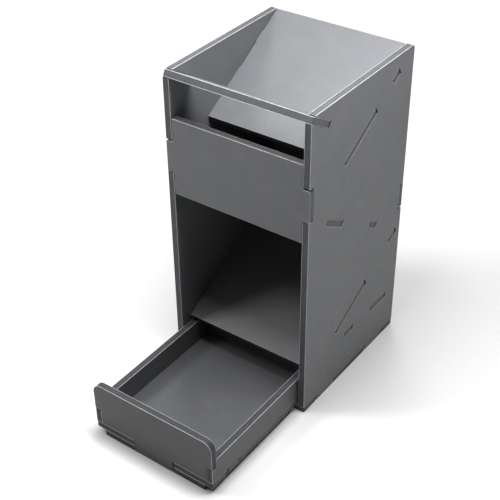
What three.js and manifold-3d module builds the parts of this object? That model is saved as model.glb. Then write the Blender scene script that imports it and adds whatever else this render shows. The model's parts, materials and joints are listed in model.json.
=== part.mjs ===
// Flat-pack dice tower: slotted foam-core boards that lock into each other, with a
// tray drawer in its foot. Dice drop in at the top, tumble over two ramps and a
// baffle, and roll out into the drawer.
// Millimetres, +Z up. X runs across the tower and +Y from its front to its back.
// The origin is on the ground, at the middle of the footprint with the drawer out.
import * as THREE from "three";
import { mergeVertices } from "three/addons/utils/BufferGeometryUtils.js";
import Module from "manifold-3d";

const wasm = await Module();
wasm.setup();

// ---- Board and joints ----
const BOARD = 4.2; // thickness of every board
const FIT = 0.1; // clearance beside a tab and under a glued edge
const PLAY = 0.8; // extra length of a slot past its tab
const SIDE_GAP = 0.4; // between a cross board's edge and the side panel

// ---- Tower box ----
const WIDTH = 96;
const DEPTH = 104.5;
const HEIGHT = 200;
const CORNER_RADIUS = 2.5; // top back corners of the side panels

// ---- Drawer ----
const DRAWN_OUT = 83; // how far its face stands in front of the tower
const FRONT_PROUD = 5.8; // how far its face stands out when it is shut
const REAR_CLEARANCE = 0.3; // behind it when it is shut
const DRAWER_HALF = 42.8; // half of its outer width
const DRAWER_LENGTH = DEPTH - BOARD - REAR_CLEARANCE + FRONT_PROUD;
const DRAWER_FRONT_TOP = 37.8;
const DRAWER_FRONT_RADIUS = 6; // its two top corners
const DRAWER_SIDE_TOP = 24.2;
const DRAWER_TAB_TOP = 18.2; // top of the side boards' tabs through the two ends
const TONGUE_HALF = 14.2; // the middle of each end, which passes down past the floor
const TONGUE_PLAY = 0.4; // beside the tongue and the side boards' tabs
const FRONT_SHIFT = -0.2; // the drawer front sits against one side of its slots
const RUNNER_HALF = 37;
const RUNNER_LENGTH = 80;
const RUNNER_GAP = 0.5; // around the runner in the base's cut-out

// ---- Levels and widths that follow from these ----
const HALF = WIDTH / 2;
const BODY_HALF = HALF - BOARD - SIDE_GAP;
const BACK_INNER_Y = DEPTH - BOARD;
const DRAWER_INNER = DRAWER_HALF - BOARD;
const FLOOR_Z = BOARD + FIT;
const ABOVE_FLOOR = FLOOR_Z + BOARD + FIT;
const CUTOUT_HALF = RUNNER_HALF + RUNNER_GAP;
const CUTOUT_DEPTH = RUNNER_LENGTH - FRONT_PROUD + RUNNER_GAP;
const FOOTPRINT_SHIFT = (DRAWN_OUT - DEPTH) / 2;

const radians = THREE.MathUtils.degToRad;

// ---- Boards that span the tower ----
// pitch is in degrees: positive rises towards the back, 90 stands upright and -90 hangs
// down. y and z place the start of the board's underside, which is the rear face of the
// fascia and the inner face of the back panel. tabs are stretches along the board that
// pass through the side panels.
const crossBoards = {
  base_panel: {
    pitch: 0,
    y: 0,
    z: 0,
    length: DEPTH,
    tabs: [[0, 12.7], [33.4, 70.4], [91.8, DEPTH]],
    frontNotch: { half: CUTOUT_HALF, depth: CUTOUT_DEPTH },
  },
  drawer_guide_shelf: {
    pitch: 0,
    y: 35,
    z: 29.3,
    length: 65.2,
    tabs: [[8.8, 17.6], [39.3, 57]],
  },
  lower_ramp: endingAt({
    pitch: 29.5,
    endY: BACK_INNER_Y - FIT,
    endZ: 75.8,
    length: 103.8,
    tabs: [[27.8, 64.5], [95.7, 103.8]],
  }),
  middle_baffle: {
    pitch: -30,
    y: BOARD + SIDE_GAP,
    z: 133.2,
    length: 79.8,
    tabs: [[14.5, 33.4], [70.3, 78.6]],
  },
  upper_ramp: endingAt({
    pitch: 31,
    endY: DEPTH,
    endZ: HEIGHT - BOARD * Math.cos(radians(31)),
    length: 80.5,
    tabs: [[0, 36], [56.3, 63.6]],
  }),
  top_bar: {
    pitch: -30,
    y: 0,
    z: HEIGHT - BOARD * Math.cos(radians(30)),
    length: 18.2,
    tabs: [[0, 18.2]],
    mouth: BOARD, // its slot runs out through the panels' top front corners
  },
  front_fascia: { pitch: 90, y: BOARD, z: 123, length: 48.8, tabs: [[14.2, 34]] },
  back_panel: { pitch: -90, y: BACK_INNER_Y, z: 193.5, length: 189.2, tabs: [[84.2, 100.7]] },
};

// Places a rising board by the upper end of its underside.
function endingAt({ pitch, endY, endZ, length, tabs }) {
  const angle = radians(pitch);
  return {
    pitch,
    y: endY - length * Math.cos(angle),
    z: endZ - length * Math.sin(angle),
    length,
    tabs,
  };
}

const drawerFloor = {
  pitch: 0,
  y: 0,
  z: FLOOR_Z,
  length: DRAWER_LENGTH,
  tabs: [[0, 14], [24.3, 81.2], [92, DRAWER_LENGTH]],
};

// ---- Materials ----
const matt = { roughness: 0.55, metalness: 0 };
const materials = {
  side: new THREE.MeshStandardMaterial({ color: 0x6b6d6e, ...matt }),
  cross: new THREE.MeshStandardMaterial({ color: 0x77797b, ...matt }),
  drawer: new THREE.MeshStandardMaterial({ color: 0x5c5e60, ...matt }),
};

// ---- Making and cutting boards ----

function shapeFrom(points) {
  return new THREE.Shape(points.map(([x, y]) => new THREE.Vector2(x, y)));
}

function extruded(shape, depth = BOARD) {
  const settings = { depth, bevelEnabled: false, curveSegments: 8 };
  return new THREE.ExtrudeGeometry(shape, settings);
}

function toSolid(geometry) {
  const bare = geometry.clone();
  bare.deleteAttribute("normal");
  bare.deleteAttribute("uv");
  const merged = mergeVertices(bare);
  const vertProperties = new Float32Array(merged.attributes.position.array);
  const triVerts = new Uint32Array(merged.index.array);
  return new wasm.Manifold(new wasm.Mesh({ numProp: 3, vertProperties, triVerts }));
}

function cutAway(geometry, cutters) {
  let solid = toSolid(geometry);
  for (const cutter of cutters) solid = solid.subtract(toSolid(cutter));
  const mesh = solid.getMesh();
  const result = new THREE.BufferGeometry();
  const positions = new THREE.BufferAttribute(mesh.vertProperties, 3);
  result.setAttribute("position", positions);
  result.setIndex(new THREE.BufferAttribute(mesh.triVerts, 1));
  const faceted = result.toNonIndexed();
  faceted.computeVertexNormals();
  return faceted;
}

function board(name, geometry, material) {
  const mesh = new THREE.Mesh(geometry, material);
  mesh.name = name;
  return mesh;
}

// Outline of a board between two side boards: half is half of its width, and its tabs
// reach further out at both side edges. A notch may be cut into the middle of its ends.
function crossShape({ length, half, reach = half, tabs = [], frontNotch, backNotch }) {
  const right = tabs.flatMap(([from, to]) => [
    [half, from],
    [reach, from],
    [reach, to],
    [half, to],
  ]);
  // A tab that runs to an end of the board takes the place of the corner there.
  if (tabs[0]?.[0] === 0) right.shift();
  else right.unshift([half, 0]);
  if (tabs.at(-1)?.[1] === length) right.pop();
  else right.push([half, length]);
  const left = right.map(([x, along]) => [-x, along]).reverse();

  const back = [];
  if (backNotch) {
    const { half: side, depth } = backNotch;
    back.push([side, length], [side, length - depth]);
    back.push([-side, length - depth], [-side, length]);
  }
  const front = [];
  if (frontNotch) {
    const { half: side, depth } = frontNotch;
    front.push([-side, 0], [-side, depth], [side, depth], [side, 0]);
  }
  return shapeFrom([...right, ...back, ...left, ...front]);
}

// Turns a distance along a cross board and a height above its underside into [y, z].
function onBoard({ pitch, y, z }, along, above) {
  const angle = radians(pitch);
  return [
    y + along * Math.cos(angle) - above * Math.sin(angle),
    z + along * Math.sin(angle) + above * Math.cos(angle),
  ];
}

// Cutters for the slots that a cross board's tabs need in a side board, in [y, z].
function slotCutters(cross) {
  const { tabs, mouth = FIT } = cross;
  const low = -FIT;
  const high = BOARD + FIT;
  return tabs.map(([from, to]) => {
    const slot = shapeFrom([
      onBoard(cross, from - mouth, low),
      onBoard(cross, to + PLAY, low),
      onBoard(cross, to + PLAY, high),
      onBoard(cross, from - mouth, high),
    ]);
    return extruded(slot, 3 * BOARD).translate(0, 0, -BOARD);
  });
}

// A cross board lies on its underside and is turned up by its pitch.
function placeCrossBoard(mesh, { pitch, y, z }) {
  mesh.rotation.x = radians(pitch);
  mesh.position.set(0, y, z);
  return mesh;
}

// A board that stands along the tower: its outline is in [y, z] and x is its left face.
function placeLengthwise(mesh, x) {
  mesh.rotation.set(Math.PI / 2, Math.PI / 2, 0);
  mesh.position.x = x;
  return mesh;
}

// ---- Tower ----

function sidePanelGeometry() {
  const outline = new THREE.Shape();
  outline.moveTo(0, 0);
  outline.lineTo(DEPTH, 0);
  const centre = [DEPTH - CORNER_RADIUS, HEIGHT - CORNER_RADIUS];
  outline.absarc(...centre, CORNER_RADIUS, 0, Math.PI / 2, false);
  outline.lineTo(0, HEIGHT);
  return cutAway(extruded(outline), Object.values(crossBoards).flatMap(slotCutters));
}

function buildTower() {
  const tower = new THREE.Group();
  const leftFaces = { side_panel_left: -HALF, side_panel_right: HALF - BOARD };
  for (const [name, x] of Object.entries(leftFaces)) {
    tower.add(placeLengthwise(board(name, sidePanelGeometry(), materials.side), x));
  }
  for (const [name, cross] of Object.entries(crossBoards)) {
    const shape = crossShape({ ...cross, half: BODY_HALF, reach: HALF });
    const mesh = board(name, extruded(shape), materials.cross);
    tower.add(placeCrossBoard(mesh, cross));
  }
  return tower;
}

// ---- Drawer, drawn here with its face at y = 0 ----

// An end board of the drawer, in [x, z], with rounded top corners. Its tongue goes down
// to tongueBottom, and its lower corners are cut away for the side boards' tabs.
function drawerEndShape(top, radius, tongueBottom) {
  const step = DRAWER_INNER - TONGUE_PLAY;
  const stepTop = DRAWER_TAB_TOP + TONGUE_PLAY;
  const shape = new THREE.Shape();
  shape.moveTo(TONGUE_HALF, tongueBottom);
  shape.lineTo(TONGUE_HALF, ABOVE_FLOOR);
  shape.lineTo(step, ABOVE_FLOOR);
  shape.lineTo(step, stepTop);
  shape.lineTo(DRAWER_HALF, stepTop);
  shape.absarc(DRAWER_HALF - radius, top - radius, radius, 0, Math.PI / 2, false);
  shape.absarc(radius - DRAWER_HALF, top - radius, radius, Math.PI / 2, Math.PI, false);
  shape.lineTo(-DRAWER_HALF, stepTop);
  shape.lineTo(-step, stepTop);
  shape.lineTo(-step, ABOVE_FLOOR);
  shape.lineTo(-TONGUE_HALF, ABOVE_FLOOR);
  shape.lineTo(-TONGUE_HALF, tongueBottom);
  return shape;
}

function placeDrawerEnd(mesh, rearFaceY) {
  return placeCrossBoard(mesh, { pitch: 90, y: rearFaceY, z: 0 });
}

// A long side board of the drawer, in [y, z]: a tab at each end, and slots for the
// floor's tabs along its bottom.
function drawerSideGeometry() {
  const inset = BOARD + FIT;
  const outline = shapeFrom([
    [0, FLOOR_Z],
    [DRAWER_LENGTH, FLOOR_Z],
    [DRAWER_LENGTH, DRAWER_TAB_TOP],
    [DRAWER_LENGTH - inset, DRAWER_TAB_TOP],
    [DRAWER_LENGTH - inset, DRAWER_SIDE_TOP],
    [inset, DRAWER_SIDE_TOP],
    [inset, DRAWER_TAB_TOP],
    [0, DRAWER_TAB_TOP],
  ]);
  return cutAway(extruded(outline), slotCutters(drawerFloor));
}

function buildDrawer() {
  const drawer = new THREE.Group();

  const frontShape = drawerEndShape(DRAWER_FRONT_TOP, DRAWER_FRONT_RADIUS, 0);
  const front = board("drawer_front", extruded(frontShape), materials.drawer);
  drawer.add(placeDrawerEnd(front, BOARD));
  front.position.x = FRONT_SHIFT;
  const backShape = drawerEndShape(DRAWER_SIDE_TOP, CORNER_RADIUS, FLOOR_Z);
  const back = board("drawer_back", extruded(backShape), materials.drawer);
  drawer.add(placeDrawerEnd(back, DRAWER_LENGTH));

  const leftFaces = { drawer_side_left: -DRAWER_HALF, drawer_side_right: DRAWER_INNER };
  for (const [name, x] of Object.entries(leftFaces)) {
    const side = board(name, drawerSideGeometry(), materials.drawer);
    drawer.add(placeLengthwise(side, x));
  }

  const tongueNotch = { half: TONGUE_HALF + TONGUE_PLAY, depth: BOARD + FIT };
  const floorShape = crossShape({
    ...drawerFloor,
    half: DRAWER_INNER - FIT,
    reach: DRAWER_HALF,
    frontNotch: tongueNotch,
    backNotch: tongueNotch,
  });
  const floor = board("drawer_floor", extruded(floorShape), materials.drawer);
  drawer.add(placeCrossBoard(floor, drawerFloor));

  const runnerShape = crossShape({
    length: RUNNER_LENGTH,
    half: RUNNER_HALF,
    frontNotch: tongueNotch,
  });
  drawer.add(board("drawer_runner", extruded(runnerShape), materials.drawer));
  return drawer;
}

const drawer = buildDrawer();
drawer.position.y = -DRAWN_OUT;

const diceTower = new THREE.Group();
diceTower.name = "dice_tower";
diceTower.add(buildTower(), drawer);
diceTower.position.y = FOOTPRINT_SHIFT;
diceTower.updateMatrixWorld(true);

export default diceTower;
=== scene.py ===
"""Looks of a flat-pack dice tower: foam-core boards with light cut edges, in soft studio light.

Every board of the frame is rebuilt from its own outline as a laminate: two facing sheets
with rounded rims, and between them a foam core whose cut edge lies a little further in.
"""

import json
import math

import bmesh
import bpy
from mathutils import Matrix, Quaternion, Vector, geometry, noise


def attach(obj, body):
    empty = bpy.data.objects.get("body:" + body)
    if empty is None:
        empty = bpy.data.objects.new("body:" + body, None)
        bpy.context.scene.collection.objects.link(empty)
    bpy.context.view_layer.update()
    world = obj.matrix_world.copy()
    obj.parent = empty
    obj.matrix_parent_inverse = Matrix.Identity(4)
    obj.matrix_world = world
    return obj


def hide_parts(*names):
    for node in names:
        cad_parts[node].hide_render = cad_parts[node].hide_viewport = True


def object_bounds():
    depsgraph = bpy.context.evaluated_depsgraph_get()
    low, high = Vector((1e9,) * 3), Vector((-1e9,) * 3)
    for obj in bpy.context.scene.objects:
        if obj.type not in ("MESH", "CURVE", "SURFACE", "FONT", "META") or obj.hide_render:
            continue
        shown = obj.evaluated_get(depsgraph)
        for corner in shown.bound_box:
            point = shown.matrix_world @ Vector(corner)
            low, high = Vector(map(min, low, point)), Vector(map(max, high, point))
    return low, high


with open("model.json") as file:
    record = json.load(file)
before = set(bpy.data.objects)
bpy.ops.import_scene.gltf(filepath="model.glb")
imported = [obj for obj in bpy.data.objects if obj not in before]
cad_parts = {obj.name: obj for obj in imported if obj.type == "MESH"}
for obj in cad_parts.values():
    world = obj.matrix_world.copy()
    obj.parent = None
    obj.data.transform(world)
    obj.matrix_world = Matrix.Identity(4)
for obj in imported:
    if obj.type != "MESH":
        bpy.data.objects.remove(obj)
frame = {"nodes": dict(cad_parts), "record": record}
CAD_LOW, CAD_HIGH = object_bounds()

MM = 0.001

# ---- The board's laminate ----
FACING = 0.32 * MM  # thickness of each facing sheet
RIM_ROUND = 0.1 * MM  # rounding of a facing's outer edge
CORE_SET_BACK = 0.13 * MM  # how far the foam's cut lies behind the rims
CORE_STEP = 0.05 * MM  # height of the step from a rim down to the foam
CORE_BULGE = 0.05 * MM  # the foam springs back out by this much at mid-thickness
CORE_UNEVEN = 0.05 * MM  # unevenness of the foam's cut
CORE_UNEVEN_SIZE = 1.7 * MM  # how long its hollows are
UNEVEN_AT_RIM = 0.4  # share of the unevenness that the foam has next to a rim
WEAR_REACH = 1.3 * MM  # how far handling wear reaches in from a cut edge
OUTER_CORNER = 0.4 * MM  # rounding of the outline's outward corners
INNER_CORNER = 0.25 * MM  # rounding of its inward corners
CORNER_STEPS = 4
LONGEST_ROUNDING = 0.4  # share of the shorter cut beside it that a rounded corner may take
EDGE_STEP = 2.4 * MM  # spacing of the points along a straight cut
SMOOTH_TURN = math.radians(30)  # a smaller turn belongs to a drawn curve
STRAIGHT = 1e-4  # sine of a turn that is too small to be a corner
CREASE = math.radians(50)  # faces that meet at more than this are shaded apart
WELD = 0.001 * MM
TINY = 1e-6
SAME_WAY = 0.999  # cosine between two faces that look the same way
SIDEWAYS_BOARD = 0.5  # least sideways part of the direction that such a board faces

# ---- Painted highlight on the rims: how much of it each rim gets, where 1 is a free edge ----
RIM_ON_TAB = 0.5  # on a tab's end
RIM_IN_SLOT = 0.15
RIM_IN_SLOT_FLOOR = 1.0  # on the side of a slot that faces up: a painted highlight of light from above
RIM_IN_NOTCH = 0.25
NOTCH_DEPTH = 2 * MM  # an edge further in than this belongs to a notch
FACES_UP = 0.3  # least upward part of the direction that a slot's floor faces
FACES_SIDEWAYS = 0.9  # least sideways part of the direction that a tab's end faces

# ---- Tones: reflectance of the greys, chosen to look right in this light; the drawer's darker tones are painted shade ----
FACING_TONES = {"side_board": 0.19, "cross_board": 0.17, "drawer_board": 0.135}
# Darker still on the drawer front: painted shade, as the front stands low and gets less light.
DRAWER_FRONT_SHADED_TONE = 0.1
CORE_TONES = {"side_board": 0.112, "cross_board": 0.096, "drawer_board": 0.08}
TAB_END_TONE = 0.15
# Pale rim tones: partly the facing's lighter cut, partly a painted highlight on the rounded edge.
RIM_CUT_AND_HIGHLIGHT_TONES = (0.42, 0.56)
FUZZ_TONE = 0.35  # torn fibres along a pale rim
GREY_RIM_TONE = 0.13
PAPER_TONES = (0.86, 0.9)

# ---- Camera ----
CAMERA_AZIMUTH = 37.68  # degrees
CAMERA_ELEVATION = 36.07
CAMERA_ROLL = -1.53
CAMERA_DISTANCE = 0.607
LOOK_AT_FORWARD = 0.0207  # the point looked at lies this far in front of the box's middle
FOCAL_LENGTH = 77.56  # millimetres, as the sensor's width is
SENSOR_WIDTH = 36
SHIFT_X = 0.0473
SHIFT_Y = 0.0191

# ---- Light ----
CENTRE = (CAD_LOW + CAD_HIGH) / 2
TOP = Vector((CENTRE.x, CENTRE.y, CAD_HIGH.z))
CONTRAST = 1.2  # the picture's contrast, where 1 leaves it as it is
WORLD_LIGHT = 0.03  # light that the world gives
WORLD_SEEN = 1.0  # how bright it looks behind the object
FLOOR_RADIUS = 6
FLOOR_GAP = 0.02 * MM  # the floor lies this far under the object
GLOW_START, GLOW_FULL = 0.3, 1.1  # the floor's glow grows between these distances
GLOW = 0.93


# ---- Outlines ----

def left_of(way):
    return Vector((-way.y, way.x))


class Corner:
    """One corner of an outline, rounded if it is sharp, which can be moved into the board."""

    def __init__(self, before, here, after):
        self.here = here
        self.a = (here - before).normalized()
        self.b = (after - here).normalized()
        self.turn = math.atan2(self.a.cross(self.b), self.a.dot(self.b))
        self.sharp = abs(self.turn) > SMOOTH_TURN
        radius = OUTER_CORNER if self.turn > 0 else INNER_CORNER
        half_turn = math.tan(abs(self.turn) / 2)
        shortest = min((here - before).length, (after - here).length)
        self.radius = min(radius, LONGEST_ROUNDING * shortest / max(half_turn, TINY))
        self.cut_back = self.radius * half_turn

    def mitre(self, inset):
        a, b = left_of(self.a), left_of(self.b)
        return self.here + (a + b) * (inset / (1 + a.dot(b)))

    def points(self, inset):
        if not self.sharp:
            return [self.mitre(inset)]
        outward = self.turn > 0
        side = left_of(self.a) if outward else -left_of(self.a)
        centre = self.here - self.a * self.cut_back + side * self.radius
        radius = self.radius - inset if outward else self.radius + inset
        if radius <= 0:
            return [self.mitre(inset)] * (CORNER_STEPS + 1)
        start = -side * radius
        made = []
        for step in range(CORNER_STEPS + 1):
            angle = self.turn * step / CORNER_STEPS
            made.append(centre + Matrix.Rotation(angle, 2) @ start)
        return made


class Outline:
    """A closed outline with the board on its left-hand side."""

    def __init__(self, points):
        points = self.without_straight(points)
        count = len(points)
        self.corners = [
            Corner(points[i - 1], points[i], points[(i + 1) % count]) for i in range(count)
        ]
        self.steps = []
        for i in range(count):
            length = (points[(i + 1) % count] - points[i]).length
            self.steps.append(max(1, round(length / EDGE_STEP)))

    @staticmethod
    def without_straight(points):
        kept = []
        for i, here in enumerate(points):
            a = (here - points[i - 1]).normalized()
            b = (points[(i + 1) % len(points)] - here).normalized()
            if abs(a.cross(b)) > STRAIGHT:
                kept.append(here)
        return kept

    def ring(self, inset):
        """The outline moved into the board by inset, always with the same number of points."""
        arcs = [corner.points(inset) for corner in self.corners]
        made = []
        for i, arc in enumerate(arcs):
            made.extend(arc)
            start, end = arc[-1], arcs[(i + 1) % len(arcs)][0]
            for step in range(1, self.steps[i]):
                made.append(start.lerp(end, step / self.steps[i]))
        return made

    def out_of_board(self):
        """For each point of a ring, the direction out of the board there."""
        made = []
        for i, corner in enumerate(self.corners):
            middle = -left_of((corner.a + corner.b).normalized())
            made.extend([middle] * (CORNER_STEPS + 1 if corner.sharp else 1))
            made.extend([-left_of(corner.b)] * (self.steps[i] - 1))
        return made

    def in_notch(self):
        """For each point of a ring, whether it lies well inside the outline's own box."""
        ring = self.ring(0)
        low = Vector((min(point.x for point in ring), min(point.y for point in ring)))
        high = Vector((max(point.x for point in ring), max(point.y for point in ring)))
        return [min(*(point - low), *(high - point)) > NOTCH_DEPTH for point in ring]

    def is_slot(self):
        """A slot's outline runs clockwise, with the board around it."""
        places = [corner.here for corner in self.corners]
        return sum(places[i - 1].cross(place) for i, place in enumerate(places)) < 0


class BoardPlane:
    """The thickness direction, the two faces and the outlines of a CAD board."""

    def __init__(self, node):
        mesh = bmesh.new()
        mesh.from_mesh(frame["nodes"][node].data)
        bmesh.ops.remove_doubles(mesh, verts=mesh.verts, dist=WELD)
        mesh.normal_update()
        up = max(mesh.faces, key=lambda face: face.calc_area()).normal.copy()
        if max(up, key=abs) < 0:
            up.negate()
        self.up = up
        # Boards that face sideways are drawn along Y, and all the others along X.
        self.side = Vector((0, 1, 0)) if abs(up.x) > SIDEWAYS_BOARD else Vector((1, 0, 0))
        self.ahead = up.cross(self.side)
        heights = [vert.co.dot(up) for vert in mesh.verts]
        self.low = min(heights)
        self.thickness = max(heights) - self.low
        self.outlines = [Outline(points) for points in self.loops(mesh)]
        mesh.free()

    def loops(self, mesh):
        """The outlines of the upper face, as lists of points."""
        top = {face for face in mesh.faces if face.normal.dot(self.up) > SAME_WAY}
        following = {}
        for face in top:
            for loop in face.loops:
                if loop.link_loop_radial_next.face not in top:
                    following[loop.vert] = loop.link_loop_next.vert
        found = []
        while following:
            start = min(following, key=lambda vert: vert.index)
            chain = [start]
            here = following.pop(start)
            while here is not start:
                chain.append(here)
                here = following.pop(here)
            found.append([self.flat(vert.co) for vert in chain])
        return found

    def flat(self, point):
        """Where a point lies in the board's own plane."""
        return Vector((point.dot(self.side), point.dot(self.ahead)))

    def solid(self, point, height):
        """The point in space that lies at a place in the board's plane and a height in it."""
        return self.side * point.x + self.ahead * point.y + self.up * (self.low + height)

    def direction(self, flat):
        """A direction in the board's own plane, as one in space."""
        return self.side * flat.x + self.ahead * flat.y


# ---- Boards ----

FACING_SLOT, RIM_SLOT, CORE_SLOT = 0, 1, 2


def laminate_profile(thickness):
    """Rings from one face to the other: height, inset, share of the foam's unevenness, wear,
    and the material of the band up to the next ring."""
    middle = thickness / 2
    round_in = RIM_ROUND * (1 - math.sqrt(0.5))
    half = [
        (0, WEAR_REACH, 0, 0, FACING_SLOT),
        (0, RIM_ROUND, 0, 1, RIM_SLOT),
        (round_in, round_in, 0, 1, RIM_SLOT),
        (RIM_ROUND, 0, 0, 1, RIM_SLOT),
        (FACING, 0, 0, 1, CORE_SLOT),
        (FACING + CORE_STEP, CORE_SET_BACK, UNEVEN_AT_RIM, 0, CORE_SLOT),
        ((FACING + middle) / 2, CORE_SET_BACK, 1, 0, CORE_SLOT),
    ]
    mid = (middle, CORE_SET_BACK - CORE_BULGE, 1, 0, CORE_SLOT)
    # Going up the other half, a band takes the material that it has on this one.
    bands = [ring[4] for ring in half]
    other = [
        (thickness - height, inset, uneven, wear, bands[max(i - 1, 0)])
        for i, (height, inset, uneven, wear, _) in enumerate(half)
    ]
    return half + [mid] + other[::-1]


def cap_triangles(rings, indices):
    """Triangles between the rings of one face, as vertex indices, counter-clockwise."""
    points = [point for ring in rings for point in ring]
    names = [index for ring in indices for index in ring]
    edges, start = [], 0
    for ring in rings:
        count = len(ring)
        edges += [(start + i, start + (i + 1) % count) for i in range(count)]
        start += count
    _, _, faces, origins, _, _ = geometry.delaunay_2d_cdt(points, edges, [], 0, WELD / 10)
    triangles = [[origins[i][0] for i in face] for face in faces]
    left_side = {}
    for number, triangle in enumerate(triangles):
        for i in range(3):
            left_side[triangle[i - 1], triangle[i]] = number

    # The board is on the left of its outlines, and reaches across every other edge.
    border = set(edges)
    waiting = [left_side[edge] for edge in edges]
    kept = set(waiting)
    while waiting:
        triangle = triangles[waiting.pop()]
        for i in range(3):
            start, end = triangle[i - 1], triangle[i]
            across = left_side.get((end, start))
            if (start, end) not in border and across not in kept:
                kept.add(across)
                waiting.append(across)
    return [[names[i] for i in triangles[number]] for number in sorted(kept)]


def edge_states(plane, outline, has_tabs):
    """How much painted highlight the rims get at each point of an outline, and whether it is a
    tab's end.
    Rims get the full painted highlight on a free edge and on a slot's upward side, and less of
    it, so they are greyer, on a tab's end, in the rest of a slot and in a notch."""
    directions = [plane.direction(flat) for flat in outline.out_of_board()]
    if outline.is_slot():
        return [
            (RIM_IN_SLOT_FLOOR if out.z > FACES_UP else RIM_IN_SLOT, 0) for out in directions
        ]
    if has_tabs:
        return [
            (RIM_ON_TAB, 1) if abs(out.x) > FACES_SIDEWAYS else (1, 0) for out in directions
        ]
    return [(RIM_IN_NOTCH if deep else 1, 0) for deep in outline.in_notch()]


class BoardMesh:
    """Gathers a board's vertices and faces, with their marks, slots and UVs."""

    def __init__(self, plane):
        self.plane = plane
        self.verts = []
        self.faces = []
        self.slots = []
        self.cut_uv = []
        self.marks = {"wear": [], "pale": [], "tab_end": []}

    def add_vert(self, point, height, worn, state):
        # Each point carries its rim's share of painted highlight, and its wear is scaled by that
        # share.
        paleness, tab_end = state
        self.verts.append(self.plane.solid(point, height))
        self.marks["wear"].append(worn * paleness)
        self.marks["pale"].append(paleness)
        self.marks["tab_end"].append(tab_end)
        return len(self.verts) - 1

    def add_face(self, verts, cut_uv, slot):
        self.faces.append(verts)
        self.cut_uv.extend(cut_uv)
        self.slots.append(slot)

    def uneven_cut(self, point, edge, height, share):
        """Moves a point of the foam's cut further in, by an amount that varies along it."""
        inward = point - edge
        if inward.length == 0:
            return point
        spot = self.plane.solid(edge, height)
        shift = CORE_UNEVEN * share * abs(noise.noise(spot / CORE_UNEVEN_SIZE))
        return point + inward.normalized() * shift

    def add_ring(self, outline, level, states):
        """Adds one ring of the profile. Returns the vertex at each of its points, in which
        points that fall together share one, and the places that were kept."""
        height, inset, uneven, worn, _ = level
        outer = outline.ring(0)
        row, kept = [], []
        for i, point in enumerate(outline.ring(inset)):
            if uneven:
                point = self.uneven_cut(point, outer[i], height, uneven)
            if row and (point - kept[-1]).length < WELD:
                row.append(row[-1])
            else:
                row.append(self.add_vert(point, height, worn, states[i]))
                kept.append(point)
        return row, kept

    def add_band(self, low, high, run, heights, slot):
        """Joins two rings. Its UVs unroll the cut: along the outline, and across the board."""
        for i in range(len(low)):
            j = (i + 1) % len(low)
            corners = {
                low[i]: (run[i], heights[0]),
                low[j]: (run[i + 1], heights[0]),
                high[j]: (run[i + 1], heights[1]),
                high[i]: (run[i], heights[1]),
            }
            if len(corners) >= 3:
                self.add_face(list(corners), corners.values(), slot)

    def add_outline(self, outline, profile, states):
        """Adds the cut along one outline. Returns its lowest and its highest ring."""
        outer = outline.ring(0)
        run = [0.0]
        for i, point in enumerate(outer):
            run.append(run[-1] + (outer[(i + 1) % len(outer)] - point).length)
        rings = [self.add_ring(outline, level, states) for level in profile]
        for i in range(len(profile) - 1):
            heights = (profile[i][0], profile[i + 1][0])
            self.add_band(rings[i][0], rings[i + 1][0], run, heights, profile[i][4])
        return rings[0], rings[-1]

    def add_cap(self, rings, faces_up):
        places = [kept for _, kept in rings]
        indices = [list(dict.fromkeys(row)) for row, _ in rings]
        for triangle in cap_triangles(places, indices):
            self.add_face(triangle if faces_up else triangle[::-1], [(0, 0)] * 3, FACING_SLOT)

    def to_object(self, name):
        mesh = bpy.data.meshes.new(name)
        mesh.from_pydata([tuple(vert) for vert in self.verts], [], self.faces)
        mesh.polygons.foreach_set("material_index", self.slots)
        for mark, values in self.marks.items():
            mesh.attributes.new(mark, "FLOAT", "POINT").data.foreach_set("value", values)
        uv = mesh.uv_layers.new(name="cut")
        uv.uv.foreach_set("vector", [value for pair in self.cut_uv for value in pair])
        mesh.set_sharp_from_angle(angle=CREASE)
        mesh.polygons.foreach_set("use_smooth", [slot != FACING_SLOT for slot in self.slots])
        mesh.update()
        board = bpy.data.objects.new(name, mesh)
        bpy.context.scene.collection.objects.link(board)
        return board


def build_board(node, has_tabs):
    plane = BoardPlane(node)
    profile = laminate_profile(plane.thickness)
    board = BoardMesh(plane)
    ends = [
        board.add_outline(outline, profile, edge_states(plane, outline, has_tabs))
        for outline in plane.outlines
    ]
    board.add_cap([lowest for lowest, _ in ends], faces_up=False)
    board.add_cap([highest for _, highest in ends], faces_up=True)
    return board.to_object(f"board_{node}")


# ---- Materials ----

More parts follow.
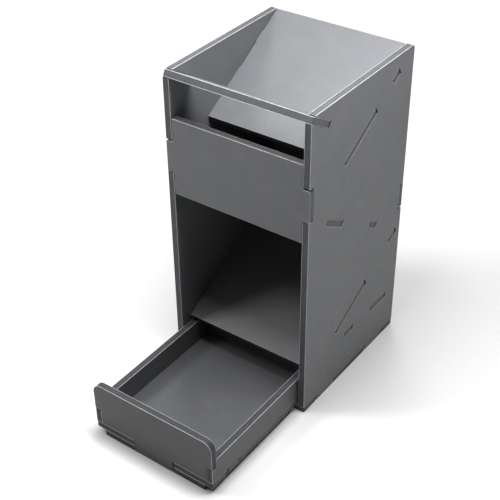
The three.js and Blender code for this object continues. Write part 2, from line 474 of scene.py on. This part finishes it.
class Graph:
    """A material's node tree, with a short way to add and link nodes."""

    def __init__(self, name):
        self.material = bpy.data.materials.new(name)
        self.material.use_nodes = True
        self.tree = self.material.node_tree
        self.tree.nodes.clear()
        self.output = self.add("ShaderNodeOutputMaterial")

    def add(self, kind, **inputs):
        """Adds a node. Names ending in _ are the node's own settings, the rest its inputs."""
        node = self.tree.nodes.new(kind)
        for name, value in inputs.items():
            if name.endswith("_"):
                setattr(node, name[:-1], value)
                continue
            socket = self.socket(node, name)
            if isinstance(value, bpy.types.NodeSocket):
                self.tree.links.new(value, socket)
            else:
                socket.default_value = value
        return node

    @staticmethod
    def socket(node, name):
        if name.startswith("in") and name[2:].isdigit():
            return node.inputs[int(name[2:])]
        return node.inputs[name.replace("_", " ")]

    def noise(self, vector, scale, detail=2.0, roughness=0.5):
        node = self.add(
            "ShaderNodeTexNoise", Vector=vector, Scale=scale, Detail=detail, Roughness=roughness
        )
        return node.outputs["Fac"]

    def math(self, operation, a, b):
        return self.add("ShaderNodeMath", operation_=operation, in0=a, in1=b).outputs[0]

    def spread(self, value, low, high, to_low=0.0, to_high=1.0):
        """Maps the values from low to high onto the range from to_low to to_high."""
        node = self.add(
            "ShaderNodeMapRange",
            Value=value, From_Min=low, From_Max=high, To_Min=to_low, To_Max=to_high,
        )
        return node.outputs[0]

    def blend(self, share, a, b):
        node = self.add("ShaderNodeMix", data_type_="RGBA", in0=share, in6=a, in7=b)
        return node.outputs[2]

    def stretch(self, vector, scale):
        return self.add("ShaderNodeMapping", Vector=vector, Scale=scale).outputs[0]

    def bump(self, height, distance, strength=1.0):
        node = self.add("ShaderNodeBump", Height=height, Distance=distance, Strength=strength)
        return node.outputs[0]

    def finish(self, color, roughness, normal, specular=0.5):
        shader = self.add(
            "ShaderNodeBsdfPrincipled", Base_Color=color, Roughness=roughness, Normal=normal
        )
        shader.inputs["Specular IOR Level"].default_value = specular
        self.tree.links.new(shader.outputs[0], self.output.inputs["Surface"])
        return self.material


def grey(value, blue=0.0):
    """A grey, which may lean towards blue."""
    return (value * (1 - blue / 2), value, value * (1 + blue), 1)


def facing_material(name, tone):
    """Coated sheet: cloudy grey with a fine pebbled grain, scuffed lighter along its edges."""
    graph = Graph(name)
    place = graph.add("ShaderNodeTexCoord").outputs["Object"]
    clouds = graph.noise(place, scale=75, detail=4, roughness=0.55)
    tint = graph.noise(graph.stretch(place, (1.3, 1, 1)), scale=190, detail=3, roughness=0.6)
    grain = graph.noise(place, scale=1900, detail=3, roughness=0.6)
    speck = graph.noise(place, scale=5200, detail=1)
    color = graph.blend(
        graph.spread(clouds, 0.3, 0.7), grey(tone * 0.93, 0.03), grey(tone * 1.07, 0.01)
    )
    tinted = graph.blend(graph.spread(tint, 0.42, 0.62), color, grey(tone, 0.09))
    speckled = graph.blend(
        graph.spread(speck, 0.58, 0.74, 0, 0.35), tinted, grey(tone * 1.5)
    )
    dimpled = graph.blend(graph.spread(grain, 0.3, 0.5, 0.3, 0), speckled, grey(tone * 0.6))
    # Scuffs: short pale hairlines, a few of them on each board.
    lines = graph.noise(graph.stretch(place, (60, 900, 700)), scale=1)
    patches = graph.noise(place, scale=40)
    scuffs = graph.math(
        "MULTIPLY", graph.spread(lines, 0.7, 0.76, 0, 0.1), graph.spread(patches, 0.5, 0.6)
    )
    scuffed = graph.blend(scuffs, dimpled, grey(tone * 1.6))
    # Lighter along the edges: wear, scaled by the rims' painted highlight share, so it is
    # strongest where the highlight is painted.
    edge = graph.add("ShaderNodeAttribute", attribute_name_="wear").outputs["Fac"]
    rubbed = graph.spread(
        graph.noise(place, scale=700, detail=4, roughness=0.65), 0.35, 0.7
    )
    near = graph.math("POWER", edge, 5)  # keeps the wear close to the edge
    wear = graph.math("MULTIPLY", near, graph.spread(rubbed, 0, 1, 0.25, 0.9))
    worn = graph.blend(wear, scuffed, grey(tone * 1.6))
    coarse, finest = graph.math("MULTIPLY", grain, 0.7), graph.math("MULTIPLY", speck, 0.3)
    height = graph.math("ADD", coarse, finest)
    dull = graph.noise(place, scale=260, detail=4, roughness=0.6)
    rough = graph.spread(dull, 0.3, 0.7, 0.4, 0.5)
    return graph.finish(worn, rough, graph.bump(height, distance=0.03 * MM, strength=0.8))


def rim_material():
    """The facing's cut edge: pale partly where the knife went through the coating, and partly as
    a painted highlight where its rounded edge catches the light.
    """
    graph = Graph("facing_rim")
    place = graph.add("ShaderNodeTexCoord").outputs["Object"]
    patches = graph.noise(place, scale=300, detail=4, roughness=0.6)
    fine = graph.noise(place, scale=2600, roughness=0.6)
    darkest, palest = RIM_CUT_AND_HIGHLIGHT_TONES
    color = graph.blend(graph.spread(patches, 0.35, 0.65), grey(darkest), grey(palest))
    fuzzy = graph.blend(graph.spread(fine, 0.35, 0.55, 0.35, 0), color, grey(FUZZ_TONE, 0.02))
    # The painted highlight share takes a rim from its own grey to the pale, highlighted tones.
    pale = graph.add("ShaderNodeAttribute", attribute_name_="pale").outputs["Fac"]
    rim = graph.blend(pale, grey(GREY_RIM_TONE, 0.03), fuzzy)
    return graph.finish(rim, 0.45, graph.bump(fine, distance=0.02 * MM))


def core_material(name, tone):
    """Cut foam: dark, with a blue lean that is the painted colour of the bluish shade on the cut
    edges, and fine open cells drawn out across the thickness.
    """
    graph = Graph(name)
    place = graph.add("ShaderNodeTexCoord").outputs["Object"]
    along = graph.add("ShaderNodeUVMap", uv_map_="cut").outputs[0]
    cells = graph.add(
        "ShaderNodeTexVoronoi", Vector=place, Scale=4200, Randomness=1.0
    ).outputs["Distance"]
    drag = graph.noise(
        graph.stretch(along, (3600, 420, 1)), scale=1, detail=3, roughness=0.6
    )
    patches = graph.noise(place, scale=160, detail=3, roughness=0.55)
    base = graph.blend(
        graph.spread(patches, 0.35, 0.65), grey(tone * 0.75, 0.1), grey(tone, 0.08)
    )
    celled = graph.blend(graph.spread(cells, 0.2, 0.75, 0, 0.6), base, grey(tone * 1.6, 0.06))
    dragged = graph.blend(graph.spread(drag, 0.35, 0.65, 0.4, 0), celled, grey(tone * 0.45, 0.12))
    # The end of a tab is smoother and lighter, nearly as light as a facing.
    tab_end = graph.add("ShaderNodeAttribute", attribute_name_="tab_end").outputs["Fac"]
    smoothed = graph.blend(
        drag, grey(TAB_END_TONE * 0.85, 0.04), grey(TAB_END_TONE * 1.15, 0.03)
    )
    cut = graph.blend(tab_end, dragged, smoothed)
    height = graph.math("ADD", cells, graph.math("MULTIPLY", drag, 0.8))
    return graph.finish(cut, 0.62, graph.bump(height, distance=0.06 * MM), specular=0.45)


def floor_material():
    """White paper that glows away from the object, so that it runs into the backdrop."""
    graph = Graph("studio_paper")
    place = graph.add("ShaderNodeTexCoord").outputs["Object"]
    fibre = graph.noise(place, scale=900, detail=3, roughness=0.6)
    darkest, palest = PAPER_TONES
    color = graph.blend(fibre, grey(darkest), grey(palest))
    away = graph.add("ShaderNodeVectorMath", operation_="LENGTH", in0=place).outputs["Value"]
    glow = graph.spread(away, GLOW_START, GLOW_FULL, 0, GLOW)
    bumps = graph.bump(fibre, distance=0.02 * MM)
    material = graph.finish(color, 0.8, bumps, specular=0.2)
    shader = graph.tree.nodes["Principled BSDF"]
    shader.inputs["Emission Color"].default_value = (1, 1, 1, 1)
    graph.tree.links.new(glow, shader.inputs["Emission Strength"])
    return material


# ---- The studio ----

def make_floor():
    mesh = bpy.data.meshes.new("studio_floor")
    shape = bmesh.new()
    bmesh.ops.create_circle(shape, cap_ends=True, segments=96, radius=FLOOR_RADIUS)
    shape.to_mesh(mesh)
    shape.free()
    mesh.materials.append(floor_material())
    floor = bpy.data.objects.new("studio_floor", mesh)
    floor.location.z = CAD_LOW.z - FLOOR_GAP
    bpy.context.scene.collection.objects.link(floor)


def outward(azimuth, elevation):
    """From the object outwards, by angles in degrees: azimuth 0 is in front, 90 on its right."""
    azimuth, elevation = math.radians(azimuth), math.radians(elevation)
    return Vector((
        math.sin(azimuth) * math.cos(elevation),
        -math.cos(azimuth) * math.cos(elevation),
        math.sin(elevation),
    ))


def around(azimuth, elevation, distance):
    return CENTRE + outward(azimuth, elevation) * distance


def make_camera():
    data = bpy.data.cameras.new("camera")
    data.lens = FOCAL_LENGTH
    data.sensor_width = SENSOR_WIDTH
    data.shift_x = SHIFT_X
    data.shift_y = SHIFT_Y
    data.clip_start = 0.02
    data.clip_end = 30
    camera = bpy.data.objects.new("camera", data)
    back = outward(CAMERA_AZIMUTH, CAMERA_ELEVATION)
    middle = CENTRE - Vector((0, LOOK_AT_FORWARD, 0))
    camera.location = middle + back * CAMERA_DISTANCE
    camera.rotation_mode = "QUATERNION"
    level = (-back).to_track_quat("-Z", "Y")
    camera.rotation_quaternion = level @ Quaternion((0, 0, 1), math.radians(CAMERA_ROLL))
    bpy.context.scene.collection.objects.link(camera)
    bpy.context.scene.camera = camera


def softbox(name, place, size, watts, aim=None):
    """A square soft light, aimed at the middle of the object unless told otherwise."""
    data = bpy.data.lights.new(name, "AREA")
    data.shape = "SQUARE"
    data.size = size
    data.energy = watts
    light = bpy.data.objects.new(name, data)
    light.location = place
    light.rotation_mode = "QUATERNION"
    towards = (aim or CENTRE) - Vector(place)
    light.rotation_quaternion = towards.to_track_quat("-Z", "Y")
    light.visible_camera = False
    bpy.context.scene.collection.objects.link(light)


def make_backdrop():
    """A world that looks white behind the object and gives hardly any light."""
    world = bpy.data.worlds.new("studio")
    world.use_nodes = True
    tree = world.node_tree
    background = tree.nodes["Background"]
    background.inputs["Color"].default_value = (1, 1, 1, 1)
    seen = tree.nodes.new("ShaderNodeLightPath").outputs["Is Camera Ray"]
    strength = tree.nodes.new("ShaderNodeMapRange")
    strength.inputs["To Min"].default_value = WORLD_LIGHT
    strength.inputs["To Max"].default_value = WORLD_SEEN
    tree.links.new(seen, strength.inputs["Value"])
    tree.links.new(strength.outputs[0], background.inputs["Strength"])
    bpy.context.scene.world = world


def light_studio():
    """Soft lamps: places and sizes are in metres."""
    softbox("overhead", (0, -0.03, 0.44), size=0.12, watts=0.95, aim=TOP)
    softbox("overhead_right", (0.17, 0.02, 0.46), size=0.14, watts=1.15, aim=TOP)
    softbox("broad", (-0.1, -0.1, 0.8), size=0.7, watts=1.5)
    softbox("left", around(275, 10, 0.9), size=0.5, watts=2.6)
    softbox("left_front", around(305, 46, 0.9), size=0.22, watts=2.6)
    softbox("back", around(215, 38, 1.0), size=0.4, watts=1.4)
    floor_behind = Vector((-0.25, 0.62, 0))
    above_it = floor_behind + Vector((0, 0, 0.55))
    softbox("floor_wash", above_it, size=0.5, watts=1.6, aim=floor_behind)


def set_view():
    view = bpy.context.scene.view_settings
    view.view_transform = "Standard"
    view.look = "None"
    view.gamma = 1 / CONTRAST


# ---- Building it ----

make_camera()
make_backdrop()
light_studio()
set_view()
make_floor()

slot_of = {row["node"]: row["material_slot"] for row in frame["record"]["subparts"]}
facings = {slot: facing_material(f"facing_{slot}", tone) for slot, tone in FACING_TONES.items()}
# The drawer front gets a darker copy of the drawer's facing: painted shade.
shaded_drawer_front_facing = facing_material("facing_drawer_front_shaded", DRAWER_FRONT_SHADED_TONE)
cores = {slot: core_material(f"foam_{slot}", tone) for slot, tone in CORE_TONES.items()}
rim = rim_material()

for body, nodes in frame["record"]["behaviour"]["bodies"].items():
    for node in nodes:
        slot = slot_of[node]
        has_tabs = slot == "cross_board" or node == "drawer_floor"
        piece = build_board(node, has_tabs)
        facing = shaded_drawer_front_facing if node == "drawer_front" else facings[slot]
        for material in (facing, rim, cores[slot]):
            piece.data.materials.append(material)
        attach(piece, body)
        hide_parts(node)
